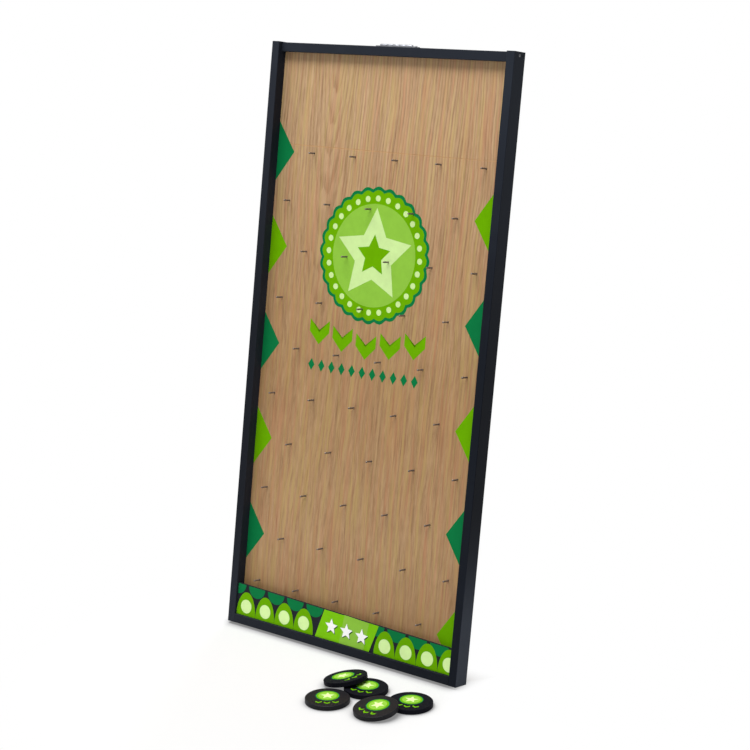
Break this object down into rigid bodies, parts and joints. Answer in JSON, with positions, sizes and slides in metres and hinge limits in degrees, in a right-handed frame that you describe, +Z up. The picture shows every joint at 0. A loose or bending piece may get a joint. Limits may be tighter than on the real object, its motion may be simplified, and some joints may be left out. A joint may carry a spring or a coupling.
{
  "type": "prize drop game",
  "caption": "Tall framed peg board that leans back on a hinged easel leg, with a bin trough across its foot and loose round chips that are dropped through the pegs.",
  "frame": {"origin": "middle of the frame's rear bottom edge, where the board stands on the floor", "axes": "+Z up, +X to the right of a player who faces the board, -Y towards the player; the board leans back towards +Y"},
  "size_m": [0.6275, 0.6055, 1.2488],
  "materials": {
    "frame_paint": "dark charcoal satin paint over wood",
    "board_wood": "clear satin lacquer over light oak veneer",
    "peg_steel": "dark plain steel",
    "panel_paint": "black satin print",
    "plain_wood": "bare wood",
    "hinge_steel": "bright zinc plate",
    "screw_steel": "zinc plate",
    "foot_rubber": "matt",
    "chip_black": "satin black"
  },
  "bodies": {
    "frame": {"left_stile": "frame_paint", "right_stile": "frame_paint", "top_rail": "frame_paint", "bottom_rail": "frame_paint", "rail_dowels": "plain_wood", "frame_screws": "screw_steel", "upper_board": "board_wood", "peg_board": "board_wood", "pegs": "peg_steel", "board_screws": "screw_steel", "bin_panel": "panel_paint", "panel_screws": "screw_steel", "bin_dividers": "plain_wood", "hinge_frame_leaf": "hinge_steel", "hinge_pin": "hinge_steel", "hinge_frame_screws": "screw_steel", "stay_bracket": "hinge_steel", "bracket_screws": "screw_steel", "stay_rivet": "hinge_steel"},
    "leg": {"hinge_leg_leaf": "hinge_steel", "hinge_leg_screws": "screw_steel", "easel_leg": "frame_paint", "leg_foot": "foot_rubber", "stay_stud": "hinge_steel"},
    "stay": {"stay_arm": "hinge_steel"},
    "chip_1": {"chip_1": "chip_black"},
    "chip_2": {"chip_2": "chip_black"},
    "chip_3": {"chip_3": "chip_black"},
    "chip_4": {"chip_4": "chip_black"},
    "chip_5": {"chip_5": "chip_black"}
  },
  "joints": [
    {"name": "leg_fold", "type": "hinge", "parent": "frame", "child": "leg", "pos_m": [-0.006, 0.17501, 1.24526], "axis": [-1, 0, 0], "range_deg": [0, 14]},
    {"name": "stay_swing", "type": "hinge", "parent": "frame", "child": "stay", "pos_m": [0.043, 0.14267, 0.94686], "axis": [-1, 0, 0], "range_deg": [0, 22.19]},
    {"name": "chip_2_lift", "type": "slide", "parent": "frame", "child": "chip_2", "axis": [0, 0, 1], "range_m": [0, 0.15]},
    {"name": "chip_1_lift", "type": "slide", "parent": "chip_2", "child": "chip_1", "axis": [0, 0, 1], "range_m": [0, 0.15]},
    {"name": "chip_3_lift", "type": "slide", "parent": "frame", "child": "chip_3", "axis": [0, 0, 1], "range_m": [0, 0.15]},
    {"name": "chip_5_lift", "type": "slide", "parent": "frame", "child": "chip_5", "axis": [0, 0, 1], "range_m": [0, 0.15]},
    {"name": "chip_4_lift", "type": "slide", "parent": "chip_5", "child": "chip_4", "axis": [0, 0, 1], "range_m": [0, 0.15]}
  ],
  "couplings": [
    {"joint": "stay_swing", "follows": "leg_fold", "ratio": 1.5846}
  ]
}
